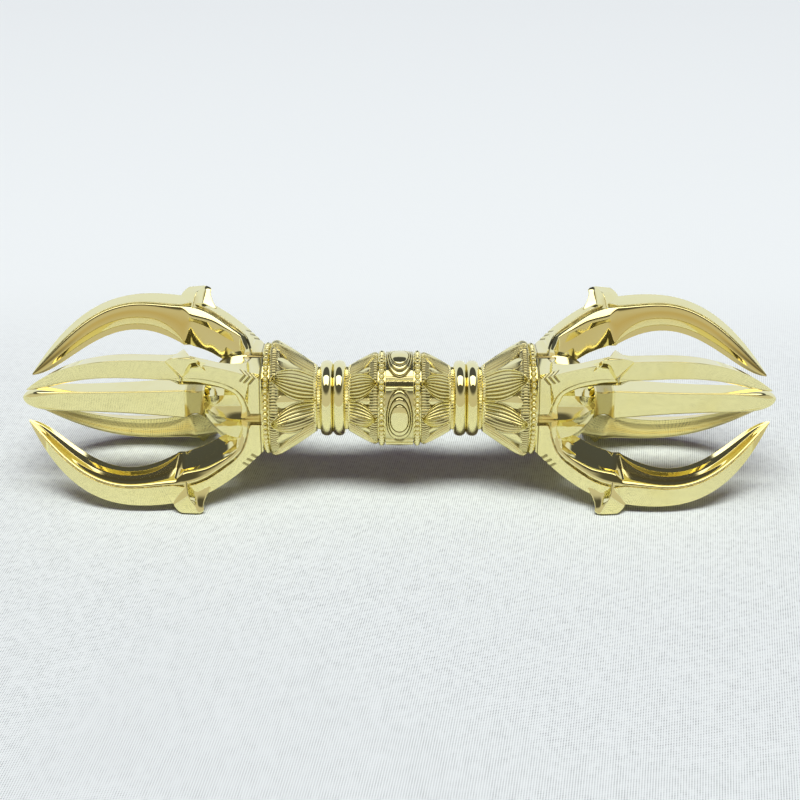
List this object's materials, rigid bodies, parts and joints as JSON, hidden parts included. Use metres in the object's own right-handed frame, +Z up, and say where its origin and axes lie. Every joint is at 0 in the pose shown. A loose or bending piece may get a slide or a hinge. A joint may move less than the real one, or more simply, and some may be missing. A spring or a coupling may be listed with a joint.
{
  "type": "five-pronged vajra",
  "caption": "Hand-held ritual sceptre of polished brass with a lotus grip and, at both ends, curved hooked prongs closing round a straight centre prong.",
  "frame": {"origin": "middle of the grip on the long axis, which is the centre of the bounding box", "axes": "+X along the grip towards the right-hand prongs, +Z up as it lies on four hooks, and -Y towards the viewer"},
  "size_m": [0.1516, 0.0346, 0.0346],
  "materials": {
    "polished_brass": "mirror polish",
    "chased_brass": "chased, satin in the hollows",
    "steel": "plain turned"
  },
  "bodies": {
    "root": {"tie_rod": "steel", "eye_band": "polished_brass", "left_inner_beaded_ring": "polished_brass", "left_waist_ferrule": "polished_brass", "left_outer_beaded_ring": "polished_brass", "left_prong_hub": "polished_brass", "left_centre_prong": "polished_brass", "left_inner_lotus_cup": "chased_brass", "left_outer_lotus_cup": "chased_brass", "left_prong_upper_front": "polished_brass", "left_prong_lower_front": "polished_brass", "left_prong_lower_back": "polished_brass", "left_prong_upper_back": "polished_brass", "right_inner_beaded_ring": "polished_brass", "right_waist_ferrule": "polished_brass", "right_outer_beaded_ring": "polished_brass", "right_prong_hub": "polished_brass", "right_centre_prong": "polished_brass", "right_inner_lotus_cup": "chased_brass", "right_outer_lotus_cup": "chased_brass", "right_prong_upper_front": "polished_brass", "right_prong_lower_front": "polished_brass", "right_prong_lower_back": "polished_brass", "right_prong_upper_back": "polished_brass"}
  },
  "joints": []
}
